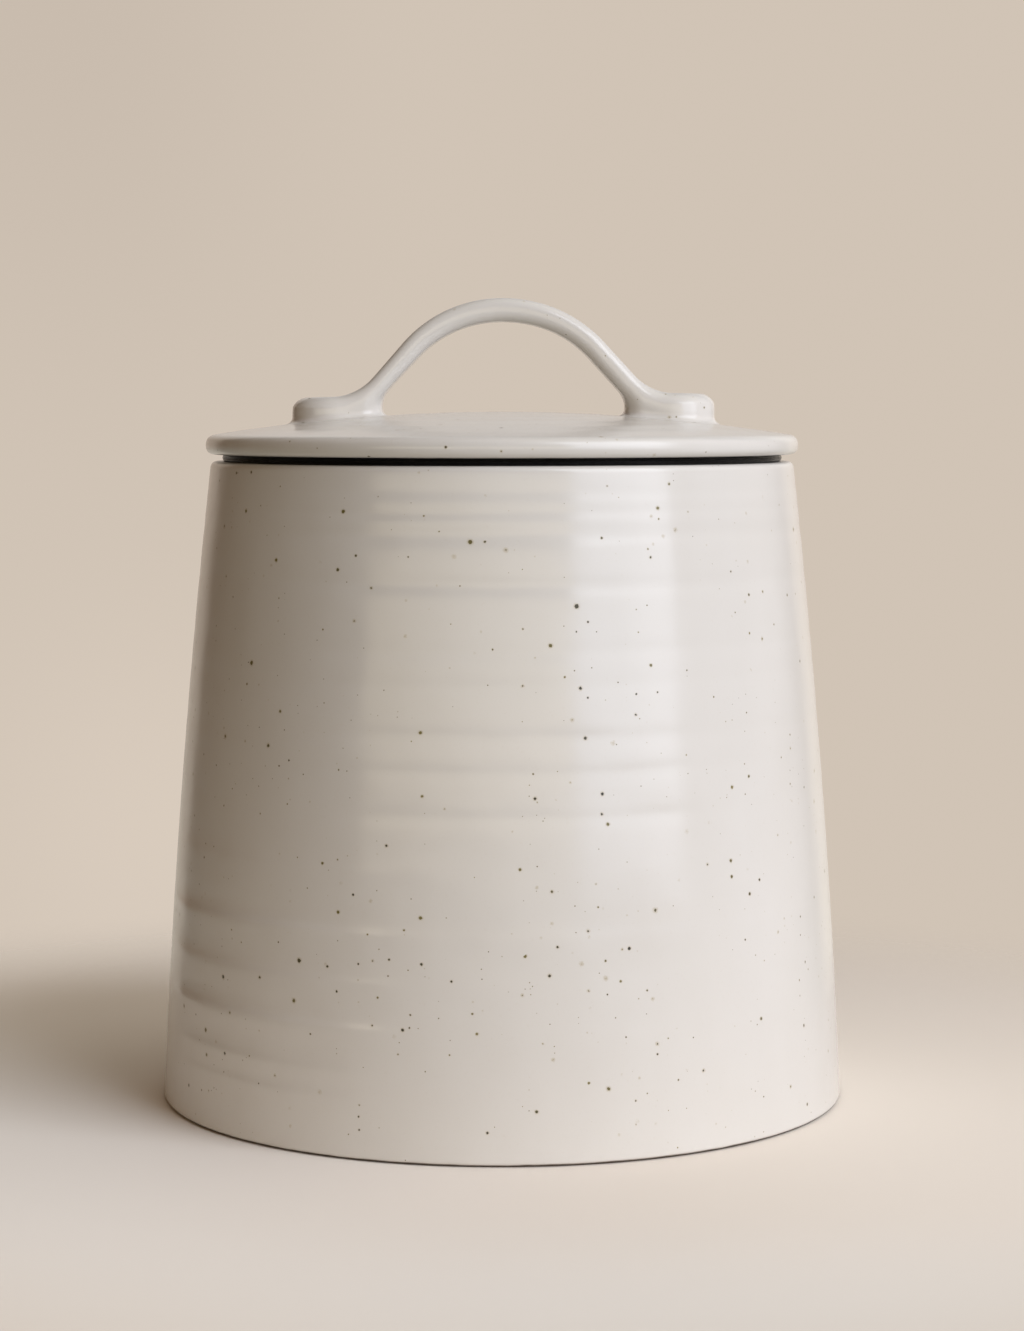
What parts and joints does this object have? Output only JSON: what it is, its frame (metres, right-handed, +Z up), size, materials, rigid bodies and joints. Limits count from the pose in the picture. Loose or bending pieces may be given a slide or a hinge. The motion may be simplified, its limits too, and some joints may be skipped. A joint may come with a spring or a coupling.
{
  "type": "butter crock",
  "caption": "Tapered round stoneware storage crock with an overhanging low-domed lid, a strap handle on top and a dark silicone seal.",
  "frame": {"origin": "centre of the foot ring on the table", "axes": "+Z up along the crock's axis; the lid's handle runs along X"},
  "size_m": [0.18, 0.18, 0.21],
  "materials": {
    "crock_glaze": "gloss",
    "seal_silicone": "satin",
    "lid_glaze": "gloss",
    "handle_glaze": "gloss"
  },
  "bodies": {
    "crock": {"crock": "crock_glaze"},
    "seal": {"seal": "seal_silicone"},
    "lid": {"lid": "lid_glaze", "handle": "handle_glaze"}
  },
  "joints": [
    {"name": "lid_lift", "type": "slide", "parent": "crock", "child": "seal", "axis": [0, 0, 1], "range_m": [0, 0.12]},
    {"name": "lid_turn", "type": "hinge", "parent": "seal", "child": "lid", "pos_m": [0, 0, 0.168], "axis": [0, 0, 1], "continuous": true}
  ]
}
